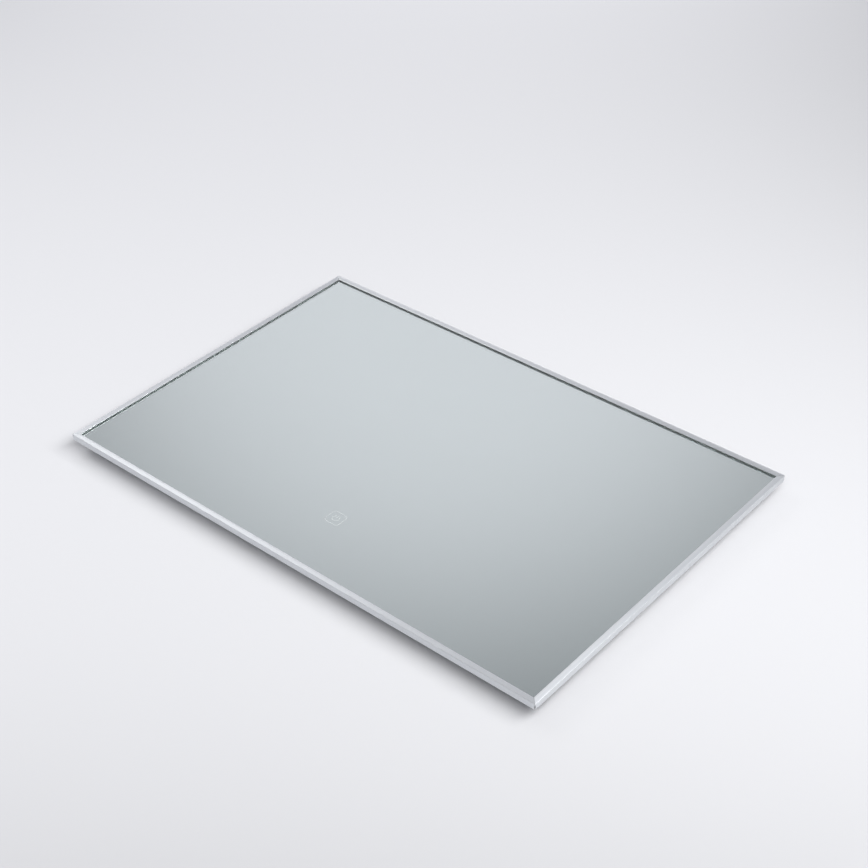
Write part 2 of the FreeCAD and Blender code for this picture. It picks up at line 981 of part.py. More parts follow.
def cover_hardware():
    """Cover screws, wall bumpers, hanger plates and their rivets."""
    screws = []
    for number, (x, y) in enumerate(COVER_SCREWS, 1):
        screws.append(
            pan_screw(
                f"cover_screw_{number}",
                (x, y, cover_back),
                1,
                size.cover_screw_radius,
                size.cover_screw_length,
                size.screw_head_radius,
                size.screw_head_height,
                size.screw_recess,
            )
        )
    keep(together("cover_screw_set", screws), "cover_screws")

    bumpers = []
    for number, (sx, sy) in enumerate(CORNERS, 1):
        x = sx * (ring_half_length - size.bumper_inset_x)
        y = sy * (ring_half_height - size.bumper_inset_y)
        bumpers.append(
            cylinder(f"bumper_{number}", size.bumper_radius, size.bumper_thickness, (x, y, 0))
        )
    keep(together("bumper_set", bumpers), "wall_bumpers")

    rivets = []
    for sign, side in HANGERS:
        x = sign * hanger_offset
        plate = sheet_body(
            f"hanger_plate_{side}",
            size.hanger_length,
            size.hanger_height,
            size.hanger_thickness,
            cover_top,
            (x, hanger_centre_y),
        )
        cut_keyhole(
            plate,
            f"hanger_keyhole_{side}",
            (0, -size.keyhole_travel / 2),
            size.keyhole_radius,
            size.keyhole_slot_radius,
            size.keyhole_travel,
        )
        local = [(rx - x, ry - hanger_centre_y) for rx, ry in rivet_places(x)]
        pocket(plate, circles(plate, f"hanger_rivet_holes_{side}", rivet_hole_radius, local))
        grip = size.cover_thickness + size.hanger_thickness
        for number, (rx, ry) in enumerate(rivet_places(x), 1):
            tag = f"rivet_{side}_{number}"
            rivets.append(
                fuse(
                    tag,
                    cylinder(f"{tag}_shank", size.rivet_radius, grip, (rx, ry, cover_back)),
                    cylinder(
                        f"{tag}_head",
                        size.rivet_head_radius,
                        size.rivet_head_height,
                        (rx, ry, cover_back - size.rivet_head_height),
                    ),
                    cylinder(
                        f"{tag}_tail",
                        size.rivet_tail_radius,
                        size.rivet_head_height,
                        (rx, ry, cover_back + grip),
                    ),
                )
            )
    keep(together("rivet_set", rivets), "hanger_rivets")


cover_hardware()


# ---------------------------------------------------------------- light channels

channel_out = size.channel_tape_thickness
strip_face = channel_out + size.channel_wall + size.strip_thickness
jumper_out = strip_face + size.lead_radius
long_channel = ring_length - 2 * size.channel_setback
short_channel = ring_height - 2 * size.channel_setback
CHANNELS = (
    ("bottom", (0, -ring_half_height, 0), 180, long_channel),
    ("right", (ring_half_length, 0, 0), 270, short_channel),
    ("top", (0, ring_half_height, 0), 0, long_channel),
    ("left", (-ring_half_length, 0, 0), 90, short_channel),
)


def channel_side(side, anchor, turn, length):
    """The channel, strip and diffuser on one wall. Local +Y points away from the wall."""
    low = channel_level - size.channel_height / 2
    start = (anchor[0], anchor[1], low)

    channel = new_body(f"led_channel_{side}", start, turn)
    outline = rectangle(
        channel,
        f"channel_{side}_outline",
        length,
        size.channel_depth,
        (0, channel_out + size.channel_depth / 2),
    )
    pad(channel, outline, size.channel_height)
    inner_height = size.channel_height - 2 * size.channel_wall
    inner_depth = size.channel_depth - size.channel_wall
    mouth = rectangle(
        channel,
        f"channel_{side}_mouth",
        inner_depth,
        inner_height,
        (channel_out + size.channel_wall + inner_depth / 2, size.channel_height / 2),
        role="YZ_Plane",
    )
    pocket(channel, mouth)
    if side == "bottom":
        feed = circles(
            channel,
            "channel_feed_hole",
            feed_hole_radius,
            [(-feed_x, size.channel_height / 2)],
            lift=-channel_out - size.channel_wall,
            role="XZ_Plane",
        )
        pocket(channel, feed, size.channel_wall)
    keep(channel, f"led_channel_{side}")

    strip_floor = channel_out + size.channel_wall
    strip = new_body(f"led_strip_{side}", start, turn)
    strip_outline = rectangle(
        strip,
        f"strip_{side}_outline",
        length,
        size.strip_thickness,
        (0, strip_floor + size.strip_thickness / 2),
        lift=(size.channel_height - size.strip_width) / 2,
    )
    pad(strip, strip_outline, size.strip_width)
    keep(strip, f"led_strip_{side}")

    diffuser = new_body(f"led_diffuser_{side}", start, turn)
    clear = size.diffuser_clearance
    outer_face = channel_out + size.channel_depth
    diffuser_outline = rectangle(
        diffuser,
        f"diffuser_{side}_outline",
        length,
        size.diffuser_thickness,
        (0, outer_face - size.diffuser_thickness / 2),
        lift=size.channel_wall + clear,
    )
    pad(diffuser, diffuser_outline, inner_height - 2 * clear)
    return keep(diffuser, f"led_diffuser_{side}")


for side, anchor, turn, length in CHANNELS:
    channel_side(side, anchor, turn, length)


def along_wall(turn, anchor, run, out):
    """The plan position that lies run along a wall and out from it, for a channel's own turn."""
    x, y = (as_size(value) for value in anchor[:2])
    if turn == 0:
        return x + run, y + out
    if turn == 90:
        return x - out, y + run
    if turn == 180:
        return x - run, y - out
    return x + out, y - run


def on_wall(name, turn, anchor, run, out, dims, bottom):
    """A block of (along, outward, up) whose centre is run along a wall, starting out from it."""
    along, outward, up = dims
    centre = along_wall(turn, anchor, run, out + outward / 2)
    plan = (along, outward, up) if turn in (0, 180) else (outward, along, up)
    return standing_box(name, plan, centre, bottom)


def channel_fittings():
    """Fixing tapes, light packages, end caps and the leads that join the strips."""
    tapes = []
    packages = []
    caps = []
    cap_low = channel_level - size.channel_height / 2
    for side, anchor, turn, length in CHANNELS:
        tape_dims = (length, channel_out, size.channel_tape_width)
        tape = on_wall(f"channel_tape_{side}", turn, anchor, as_size(0), as_size(0), tape_dims,
                       channel_level - size.channel_tape_width / 2)
        if side == "bottom":
            feed_start = -ring_half_height - channel_out
            tape = cut(
                "channel_tape_bottom_pierced",
                tape,
                cylinder("channel_tape_hole", feed_hole_radius, channel_out,
                         (feed_x, feed_start, channel_level), "Y"),
            )
        tapes.append(tape)
        count = int(float(length / 2 - size.led_pitch) // float(size.led_pitch))
        for number in range(-count, count + 1):
            packages.append(
                on_wall(
                    f"led_{side}_{number + count}",
                    turn,
                    anchor,
                    number * size.led_pitch,
                    strip_face,
                    (size.led_length, size.led_height, size.led_width),
                    channel_level - size.led_width / 2,
                )
            )
        for sign, end in ((-1, "start"), (1, "end")):
            tag = f"cap_{side}_{end}"
            run = sign * (length / 2 + size.end_cap_thickness / 2)
            plate = on_wall(
                f"{tag}_plate",
                turn,
                anchor,
                run,
                channel_out,
                (size.end_cap_thickness, size.channel_depth, size.channel_height),
                cap_low,
            )
            hole_x, hole_y = along_wall(turn, anchor, run, jumper_out)
            back_step = size.end_cap_thickness
            if turn in (0, 180):
                start = (hole_x - back_step, hole_y, channel_level)
            else:
                start = (hole_x, hole_y - back_step, channel_level)
            axis = "X" if turn in (0, 180) else "Y"
            hole = cylinder(f"{tag}_hole", lead_bore_radius, 2 * back_step, start, axis)
            caps.append(cut(tag, plate, hole))
    keep(together("channel_tape_set", tapes), "channel_tapes")
    keep(together("led_package_set", packages), "led_packages")
    keep(together("end_cap_set", caps), "channel_end_caps")


channel_fittings()


# ---------------------------------------------------------------- leads


def turning_points(points):
    """The route as vectors, without inner points at which it doesn't turn."""
    points = [Vector(*[float(value) for value in point]) for point in points]
    kept = [points[0]]
    for corner, after in zip(points[1:], points[2:]):
        if (corner - kept[-1]).getAngle(after - corner) > 1e-6:
            kept.append(corner)
    return kept + [points[-1]]


def rounded_path(points, radii):
    """A wire of straight runs joined by tangent arcs, one radius for each inner point."""
    pieces = []
    start = points[0]
    for before, corner, after, radius in zip(points, points[1:], points[2:], radii):
        arrive = (corner - before).normalize()
        leave = (after - corner).normalize()
        turn = arrive.getAngle(leave)
        reach = float(radius) * math.tan(turn / 2)
        bend_start = corner - arrive * reach
        bend_end = corner + leave * reach
        inward = (leave - arrive).normalize()
        middle = corner + inward * (float(radius) / math.cos(turn / 2) - float(radius))
        pieces.append(Part.LineSegment(start, bend_start).toShape())
        pieces.append(Part.Arc(bend_start, middle, bend_end).toShape())
        start = bend_end
    pieces.append(Part.LineSegment(start, points[-1]).toShape())
    return Part.Wire(pieces)


def fair_radii(points):
    """The largest arcs that the runs allow: 0.45 of the shorter run over tan(half turn)."""
    radii = []
    for before, corner, after in zip(points, points[1:], points[2:]):
        arrive = corner - before
        leave = after - corner
        half_turn = arrive.getAngle(leave) / 2
        radii.append(0.45 * min(arrive.Length, leave.Length) / math.tan(half_turn))
    return radii


def lead(name, points, radii=None):
    """A round insulated lead along a path. Its volume is checked against its length."""
    points = turning_points(points)
    radii = radii or fair_radii(points)
    path = rounded_path(points, radii)
    first = path.OrderedEdges[0]
    direction = first.tangentAt(first.FirstParameter)
    section = Part.Wire(
        Part.Circle(path.OrderedVertexes[0].Point, direction, float(size.lead_radius)).toShape()
    )
    tube = path.makePipeShell([section], True, False)
    expected = math.pi * float(size.lead_radius) ** 2 * path.Length
    print(f"{name}: length {path.Length:.1f}, radii {[round(float(r), 1) for r in radii]}, "
          f"volume over section times length {tube.Volume / expected:.5f}")
    if abs(tube.Volume / expected - 1) > 1e-3:
        raise RuntimeError(f"{name} isn't a clean sweep")
    feature = doc.addObject("Part::Feature", name)
    feature.Shape = tube
    return feature


def corner_jumpers():
    """Short leads round three corners. The fourth corner is where the chain of strips ends."""
    far_x = ring_half_length + jumper_out
    far_y = ring_half_height + jumper_out
    from_x = ring_half_length - size.channel_setback - size.lead_landing
    from_y = ring_half_height - size.channel_setback - size.lead_landing
    room = jumper_out - (size.lead_radius + size.jumper_gap) / math.sqrt(2)
    bend = room / (1 - 1 / math.sqrt(2))
    jumpers = []
    for number, (sx, sy) in enumerate(CORNERS[:3], 1):
        route = [
            (sx * from_x, sy * far_y, channel_level),
            (sx * far_x, sy * far_y, channel_level),
            (sx * far_x, sy * from_y, channel_level),
        ]
        jumpers.append(lead(f"corner_jumper_{number}", route, [bend]))
    keep(together("corner_jumper_set", jumpers), "corner_jumper_leads")


corner_jumpers()

driver_front = size.driver_y - size.driver_width / 2
board_lead_y = driver_front + size.driver_wall + size.lead_landing
feed_end_y = -ring_half_height - channel_out - size.channel_wall
feed_ramp_end = -ring_half_height + size.feed_tail
feed_ramp_start = feed_ramp_end + size.feed_ramp
feed_route = [
    (feed_x, board_lead_y, lead_centre),
    (feed_x, feed_ramp_start, lead_centre),
    (feed_x, feed_ramp_end, channel_level),
    (feed_x, feed_end_y, channel_level),
]
keep(lead("feed_lead", feed_route), "led_feed_lead")

touch_exit_x = driver_x - size.touch_exit_offset
electrode_back = film_back - size.electrode_thickness
sensor_board_back = electrode_back - size.sensor_board_thickness
sensor_lead_level = sensor_board_back - size.lead_radius
sensor_side = size.icon_x + size.sensor_size / 2
sensor_lead_end = sensor_side - size.sensor_wall - size.lead_landing
touch_ramp_end = sensor_side + size.touch_tail
touch_route = [
    (touch_exit_x, board_lead_y, lead_centre),
    (touch_exit_x, icon_y, lead_centre),
    (touch_ramp_end + size.touch_ramp, icon_y, lead_centre),
    (touch_ramp_end, icon_y, sensor_lead_level),
    (sensor_lead_end, icon_y, sensor_lead_level),
]
keep(lead("touch_lead", touch_route), "touch_sensor_lead")

mains_ways = {"neutral": -1, "live": 0}
earth_way = size.terminal_pitch
mains = []
for name, way in mains_ways.items():
    y = way * size.terminal_pitch
    hole_y = size.driver_y + way * (size.terminal_pitch + size.mains_spread)
    mains.append(
        lead(
            f"mains_{name}",
            [
                (terminal_right - size.lead_landing, y, lead_centre),
                (terminal_right + size.mains_straight, y, lead_centre),
                (driver_left - size.mains_straight, hole_y, lead_centre),
                (driver_left + size.driver_wall + size.lead_landing, hole_y, lead_centre),
            ],
        )
    )
keep(together("mains_pair", mains), "mains_leads")


def clip(name, x, y):
    """A saddle on the cover that holds a lead which runs along Y."""
    width = 2 * (lead_bore_radius + size.clip_wall)
    height = lead_centre - cover_top + lead_bore_radius + size.clip_wall
    saddle = standing_box(f"{name}_saddle", (width, size.clip_length, height), (x, y), cover_top)
    start = (x, y - size.clip_length / 2, lead_centre)
    bore = cylinder(f"{name}_bore", lead_bore_radius, size.clip_length, start, "Y")
    return cut(name, saddle, bore)


first_clip_y = driver_front - size.clip_distance
clips = [
    clip("clip_feed_upper", feed_x, first_clip_y),
    clip("clip_feed_lower", feed_x, (first_clip_y + feed_ramp_start) / 2),
    clip("clip_touch_upper", touch_exit_x, first_clip_y),
    clip("clip_touch_lower", touch_exit_x, (first_clip_y + icon_y) / 2),
]
keep(together("clip_set", clips), "lead_clips")

bush_length = size.sheet_thickness + channel_out + size.channel_wall
feed_bush = cylinder(
    "feed_bush", feed_hole_radius, bush_length, (feed_x, feed_end_y, channel_level), "Y"
)
feed_flange = cylinder(
    "feed_flange",
    feed_hole_radius + size.bush_wall,
    size.sheet_thickness,
    (feed_x, -ring_half_height + size.sheet_thickness, channel_level),
    "Y",
)
feed_bore = cylinder(
    "feed_bore",
    lead_bore_radius,
    bush_length + size.sheet_thickness,
    (feed_x, feed_end_y, channel_level),
    "Y",
)
feed_solid = fuse("feed_grommet_solid", feed_bush, feed_flange)
keep(cut("feed_grommet_ring", feed_solid, feed_bore), "feed_grommet")


# ---------------------------------------------------------------- driver

driver_top = cover_top + size.driver_height
lid_bottom = driver_top - size.driver_wall
inside_length = size.driver_length - 2 * size.driver_wall
inside_width = size.driver_width - 2 * size.driver_wall
driver_stud_x = size.driver_length / 2 + size.driver_ear / 2
stud_hole_radius = size.stud_radius + size.screw_hole_clearance
boss_centre_x = (inside_length - size.driver_boss) / 2
boss_centre_y = (inside_width - size.driver_boss) / 2
BOSSES = [(sx * boss_centre_x, sy * boss_centre_y) for sx, sy in CORNERS]
lid_hole_radius = size.lid_screw_radius + size.screw_hole_clearance


def build_driver():
    """The driver's housing with its bosses and posts, its lid, screws and board."""
    housing = new_body("driver_housing", (driver_x, size.driver_y, cover_top))
    ears_length = size.driver_length + 2 * size.driver_ear
    pad(
        housing,
        rectangle(
            housing,
            "driver_ears",
            ears_length,
            size.driver_ear_width,
            (0, size.driver_ear_offset),
        ),
        size.driver_wall,
    )
    pad(
        housing,
        rectangle(housing, "driver_walls", size.driver_length, size.driver_width),
        size.driver_height - size.driver_wall,
    )
    pocket(
        housing,
        rectangle(
            housing, "driver_hollow", inside_length, inside_width, lift=size.driver_wall
        ),
        size.driver_height,
    )
    for number, centre in enumerate(BOSSES, 1):
        boss = rectangle(
            housing,
            f"driver_boss_{number}",
            size.driver_boss,
            size.driver_boss,
            centre,
            lift=size.driver_wall,
        )
        pad(housing, boss, size.driver_height - 2 * size.driver_wall)
    post_x = inside_length / 2 - size.board_post_inset_x
    post_y = inside_width / 2 - size.board_post_inset_y
    posts = circles(
        housing,
        "board_posts",
        size.board_post_radius,
        [(sx * post_x, sy * post_y) for sx, sy in CORNERS],
        lift=size.driver_wall,
    )
    pad(housing, posts, size.board_standoff)
    ears = [(sign * driver_stud_x, size.driver_ear_offset) for sign in (-1, 1)]
    pocket(housing, circles(housing, "ear_holes", stud_hole_radius, ears))
    thread_depth = size.lid_screw_length - size.driver_wall + size.board_clearance
    threads = circles(
        housing,
        "lid_threads",
        lid_hole_radius,
        BOSSES,
        lift=size.driver_height - size.driver_wall - thread_depth,
    )
    pocket(housing, threads, size.driver_height)
    lead_level = lead_centre - cover_top
    pocket(
        housing,
        circles(
            housing,
            "output_holes",
            lead_bore_radius,
            [(feed_x - driver_x, lead_level), (-size.touch_exit_offset, lead_level)],
            lift=inside_width / 2,
            role="XZ_Plane",
        ),
        size.driver_wall,
    )
    mains_step = size.terminal_pitch + size.mains_spread
    pocket(
        housing,
        circles(
            housing,
            "mains_holes",
            lead_bore_radius,
            [(way * mains_step, lead_level) for way in mains_ways.values()],
            lift=-size.driver_length / 2,
            role="YZ_Plane",
        ),
        size.driver_wall,
    )
    keep(housing, "driver_housing")

    centre = (driver_x, size.driver_y)
    lid = sheet_body(
        "driver_lid", size.driver_length, size.driver_width, size.driver_wall, lid_bottom, centre
    )
    pocket(lid, circles(lid, "lid_holes", lid_hole_radius, BOSSES))

    board = sheet_body(
        "driver_circuit_board",
        inside_length - 2 * size.board_clearance,
        inside_width - 2 * size.board_clearance,
        size.board_thickness,
        board_bottom,
        centre,
    )
    notch = size.driver_boss + 2 * size.board_clearance
    for number, place_of_boss in enumerate(BOSSES, 1):
        pocket(board, rectangle(board, f"board_notch_{number}", notch, notch, place_of_boss))

    screws = []
    for number, (x, y) in enumerate(BOSSES, 1):
        screws.append(
            pan_screw(
                f"lid_screw_{number}",
                (driver_x + x, size.driver_y + y, driver_top),
                -1,
                size.lid_screw_radius,
                size.lid_screw_length,
                size.lid_screw_head_radius,
                size.lid_screw_head_height,
                size.lid_screw_recess,
            )
        )
    keep(together("lid_screw_set", screws), "driver_lid_screws")


build_driver()


def board_components():
    """What stands on the driver's board: transformer, capacitors and choke."""
    x = driver_x + size.transformer_x
    y = size.driver_y
    depth = size.transformer_depth
    window = size.transformer_window
    window_height = size.transformer_height - 2 * size.transformer_yoke
    window_low = board_top + size.transformer_yoke
    core = standing_box(
        "transformer_block",
        (size.transformer_length, depth, size.transformer_height),
        (x, y),
        board_top,
    )
    shift = (size.transformer_leg + window) / 2
    windows = [
        standing_box(
            f"transformer_window_{number}",
            (window, depth, window_height),
            (x + sign * shift, y),
            window_low,
        )
        for number, sign in enumerate((-1, 1), 1)
    ]
    winding = standing_box(
        "winding_block",
        (
            size.transformer_leg + 2 * window,
            depth + 2 * size.winding_overhang,
            window_height,
        ),
        (x, y),
        window_low,
    )
    leg = standing_box(
        "winding_core", (size.transformer_leg, depth, window_height), (x, y), window_low
    )
    keep(
        together(
            "transformer_pair",
            [cut("transformer_core", core, *windows), cut("transformer_winding", winding, leg)],
        ),
        "driver_transformer",
    )

    half = size.capacitor_length / 2
    middle = board_top + size.capacitor_radius
    places = [
        (size.capacitor_x, -size.capacitor_pitch / 2),
        (size.capacitor_x, size.capacitor_pitch / 2),
        (size.output_capacitor_x, 0),
    ]
    cans = [
        cylinder(
            f"capacitor_{number}",
            size.capacitor_radius,
            size.capacitor_length,
            (driver_x + cx - half, size.driver_y + cy, middle),
            "X",
        )
        for number, (cx, cy) in enumerate(places, 1)
    ]
    keep(together("capacitor_set", cans), "driver_capacitors")

    choke = doc.addObject("Part::Torus", "choke_ring")
    bind(choke, "Radius1", size.choke_radius)
    bind(choke, "Radius2", size.choke_wire_radius)
    place(
        choke,
        (
            driver_x + size.choke_x,
            size.driver_y + size.choke_y,
            board_top + size.choke_wire_radius,
        ),
    )
    keep(choke, "driver_choke")


board_components()


# ---------------------------------------------------------------- terminal block and inlet

terminal_stud_y = size.terminal_width / 2 + size.terminal_ear / 2
earth_x = terminal_x + size.earth_stud_across
earth_y = size.earth_stud_along
driver_stud_y = size.driver_y + size.driver_ear_offset
STUDS = {
    "driver_left": (driver_x - driver_stud_x, driver_stud_y, size.driver_wall),
    "driver_right": (driver_x + driver_stud_x, driver_stud_y, size.driver_wall),
    "terminal_upper": (terminal_x, terminal_stud_y, size.terminal_ear_thickness),
    "terminal_lower": (terminal_x, -terminal_stud_y, size.terminal_ear_thickness),
    "earth": (earth_x, earth_y, size.earth_tag_thickness),
}


def studs_and_nuts():
    """Studs welded to the cover, and a nut on each that holds what lies under it."""
    studs = []
    nuts = []
    for name, (x, y, grip) in STUDS.items():
        studs.append(
            cylinder(f"stud_{name}", size.stud_radius, size.stud_height, (x, y, cover_top))
        )
        seat = cover_top + grip
        blank = hexagon(f"nut_{name}_blank", size.nut_flats, size.nut_thickness, (x, y, seat))
        bore = cylinder(f"nut_{name}_bore", stud_hole_radius, size.nut_thickness, (x, y, seat))
        nuts.append(cut(f"nut_{name}", blank, bore))
    keep(together("stud_set", studs), "mounting_studs")
    keep(together("nut_set", nuts), "mounting_nuts")


studs_and_nuts()


def mains_terminal():
    """The three way terminal block and its clamping screws."""
    block = new_body("terminal_block", (terminal_x, 0, cover_top))
    pad(
        block,
        rectangle(
            block,
            "terminal_foot",
            size.terminal_length,
            size.terminal_width + 2 * size.terminal_ear,
        ),
        size.terminal_ear_thickness,
    )
    pad(
        block,
        rectangle(block, "terminal_walls", size.terminal_length, size.terminal_width),
        size.terminal_height,
    )
    ears = [(0, -terminal_stud_y), (0, terminal_stud_y)]
    pocket(block, circles(block, "terminal_ear_holes", stud_hole_radius, ears))
    ways = (-1, 0, 1)
    level = lead_centre - cover_top
    wire_bore = size.lead_radius + size.lead_hole_clearance
    pocket(
        block,
        circles(
            block,
            "terminal_wire_holes",
            wire_bore,
            [(way * size.terminal_pitch, level) for way in ways],
            role="YZ_Plane",
        ),
    )
    places = [
        (sign * size.terminal_screw_offset, way * size.terminal_pitch)
        for sign in (-1, 1)
        for way in ways
    ]
    screw_bottom = level + size.lead_radius
    pocket(
        block,
        circles(
            block,
            "terminal_screw_holes",
            size.terminal_screw_radius + size.screw_hole_clearance,
            places,
            lift=screw_bottom,
        ),
        size.terminal_height,
    )
    keep(block, "terminal_block")

    screws = []
    length = size.terminal_height - screw_bottom
    slot_depth = size.terminal_screw_slot
    for number, (x, y) in enumerate(places, 1):
        low = cover_top + screw_bottom
        shank = cylinder(
            f"terminal_screw_{number}_shank",
            size.terminal_screw_radius,
            length,
            (terminal_x + x, y, low),
        )
        slot = standing_box(
            f"terminal_screw_{number}_slot",
            (2 * size.terminal_screw_radius, slot_depth, slot_depth),
            (terminal_x + x, y),
            low + length - slot_depth,
        )
        screws.append(cut(f"terminal_screw_{number}", shank, slot))
    keep(together("terminal_screw_set", screws), "terminal_screws")


mains_terminal()


def earth_bond():
    """The earth lead and the ring tag crimped on it, which the earth nut clamps."""
    barrel_radius = size.lead_radius + size.earth_barrel_wall
    level = cover_top + barrel_radius + size.earth_barrel_lift
    barrel_start = earth_y - size.earth_tag_radius - size.earth_barrel_length
    barrel_end = barrel_start + size.earth_barrel_length + size.earth_barrel_wall
    tag = cylinder(
        "earth_tag_disc",
        size.earth_tag_radius,
        size.earth_tag_thickness,
        (earth_x, earth_y, cover_top),
    )
    barrel = cylinder(
        "earth_barrel", barrel_radius, barrel_end - barrel_start, (earth_x, barrel_start, level), "Y"
    )
    hole = cylinder(
        "earth_tag_hole", stud_hole_radius, size.earth_tag_thickness, (earth_x, earth_y, cover_top)
    )
    socket = cylinder(
        "earth_socket",
        size.lead_radius,
        size.lead_landing,
        (earth_x, barrel_start, level),
        "Y",
    )
    tag = cut("earth_tag", fuse("earth_tag_solid", tag, barrel), hole, socket)
    wire = lead(
        "earth_wire",
        [
            (terminal_right - size.lead_landing, earth_way, lead_centre),
            (earth_x, earth_way, lead_centre),
            (earth_x, barrel_start - size.earth_straight, level),
            (earth_x, barrel_start + size.lead_landing, level),
        ],
    )
    keep(together("earth_lead_and_tag", [wire, tag]), "earth_lead")


earth_bond()

grommet_back = cover_back - size.grommet_flange
grommet_height = size.cover_thickness + 2 * size.grommet_flange
grommet_solid = fuse(
    "grommet_solid",
    cylinder(
        "grommet_waist",
        size.grommet_groove_radius,
        grommet_height,
        (inlet_x, 0, grommet_back),
    ),
    cylinder(
        "grommet_outer_flange",
        size.grommet_flange_radius,
        size.grommet_flange,
        (inlet_x, 0, grommet_back),
    ),
    cylinder(
        "grommet_inner_flange",
        size.grommet_flange_radius,
        size.grommet_flange,
        (inlet_x, 0, cover_top),
    ),
)
grommet_bore = cylinder(
    "grommet_bore", size.grommet_bore_radius, grommet_height, (inlet_x, 0, grommet_back)
)
keep(cut("grommet_ring", grommet_solid, grommet_bore), "cable_grommet")


# ---------------------------------------------------------------- touch sensor


def touch_sensor():
    """The sensor behind the symbol: pad, electrode, board, indicator and housing."""
    centre = (size.icon_x, icon_y)
    outer = size.sensor_size
    inner = outer - 2 * size.sensor_wall
    board_size = inner - 2 * size.sensor_clearance
    hole = size.light_hole_radius
    sensor_low = film_back - size.sensor_depth

    housing = sheet_body(
        "touch_sensor_housing", outer, outer, size.sensor_depth, sensor_low, centre
    )
    hollow = rectangle(housing, "sensor_hollow", inner, inner, lift=size.sensor_wall)
    pocket(housing, hollow, size.sensor_depth)
    lead_hole = circles(
        housing,
        "sensor_lead_hole",
        lead_bore_radius,
        [(0, sensor_lead_level - sensor_low)],
        lift=inner / 2,
        role="YZ_Plane",
    )
    pocket(housing, lead_hole, size.sensor_wall)

    layers = (
        ("touch_adhesive_pad", outer, size.film_thickness, film_back),
        ("touch_electrode", board_size, size.electrode_thickness, electrode_back),
        ("touch_sensor_board", board_size, size.sensor_board_thickness, sensor_board_back),
    )
    for label, across, thickness, bottom in layers:
        layer = sheet_body(label, across, across, thickness, bottom, centre)
        pocket(layer, circles(layer, f"{label}_light_hole", hole, [(0, 0)]))

    indicator = standing_box(
        "indicator_block",
        (size.indicator_length, size.indicator_width, size.indicator_height),
        centre,
        sensor_board_back - size.indicator_height,
    )
    keep(indicator, "touch_indicator_led")


touch_sensor()


# ---------------------------------------------------------------- checks and files

doc.recompute()
failed = [item.Name for item in doc.Objects if {"Invalid", "Error"} & set(item.State)]
if failed:
    raise RuntimeError(f"objects that failed: {failed}")
for part in SUB_PARTS:
    if part.Shape.isNull() or not part.Shape.isValid() or not part.Shape.Solids:
        raise RuntimeError(f"{part.Label} has no valid solid")

os.makedirs("parts", exist_ok=True)
for part in SUB_PARTS:
    part.Shape.exportStep(f"parts/{part.Label}.step")
    extent = part.Shape.BoundBox
    print(
        f"{part.Label}: {len(part.Shape.Solids)} solids, volume {part.Shape.Volume:.1f}, "
        f"x {extent.XMin:.2f} to {extent.XMax:.2f}, y {extent.YMin:.2f} to {extent.YMax:.2f}, "
        f"z {extent.ZMin:.2f} to {extent.ZMax:.2f}"
    )
print(f"{len(SUB_PARTS)} sub-parts")
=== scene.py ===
"""Backlit bathroom mirror in a mitred aluminium frame, lying on its back on a pale studio floor.

Everything is in metres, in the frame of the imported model: +Z points out of the mirror face and
the wall bumpers stand on z = 0, which is the floor here.
"""
import math

import bmesh
import bpy
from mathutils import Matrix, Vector


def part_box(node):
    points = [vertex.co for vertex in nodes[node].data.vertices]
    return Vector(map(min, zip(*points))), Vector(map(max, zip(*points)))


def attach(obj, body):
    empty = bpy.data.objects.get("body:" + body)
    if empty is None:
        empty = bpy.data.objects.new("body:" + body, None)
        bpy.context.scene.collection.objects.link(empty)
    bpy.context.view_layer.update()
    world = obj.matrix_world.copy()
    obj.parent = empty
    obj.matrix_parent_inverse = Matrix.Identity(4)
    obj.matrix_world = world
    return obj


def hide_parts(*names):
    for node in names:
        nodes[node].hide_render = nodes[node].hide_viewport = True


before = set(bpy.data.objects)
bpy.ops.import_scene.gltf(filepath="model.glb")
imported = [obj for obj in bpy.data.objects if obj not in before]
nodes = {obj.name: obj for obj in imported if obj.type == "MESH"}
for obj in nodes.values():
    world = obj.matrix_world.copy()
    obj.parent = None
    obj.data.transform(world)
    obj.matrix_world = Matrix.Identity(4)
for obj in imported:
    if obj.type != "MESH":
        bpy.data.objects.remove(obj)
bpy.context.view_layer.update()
scene = bpy.context.scene

MM = 0.001

# ---------------------------------------------------------------- camera
CAMERA_PLACE = (1.33590, -1.48744, 1.56404)
CAMERA_TURN = (53.26993, 1.09334, 40.50868)
CAMERA_LENS = 69.294
CAMERA_SENSOR = 36.0


def add_camera():
    """The photograph's viewpoint, solved from the four corners of the frame."""
    data = bpy.data.cameras.new("studio_camera")
    data.lens = CAMERA_LENS
    data.sensor_width = CAMERA_SENSOR
    camera = bpy.data.objects.new("studio_camera", data)
    camera.location = CAMERA_PLACE
    camera.rotation_euler = [math.radians(angle) for angle in CAMERA_TURN]
    scene.collection.objects.link(camera)
    scene.camera = camera


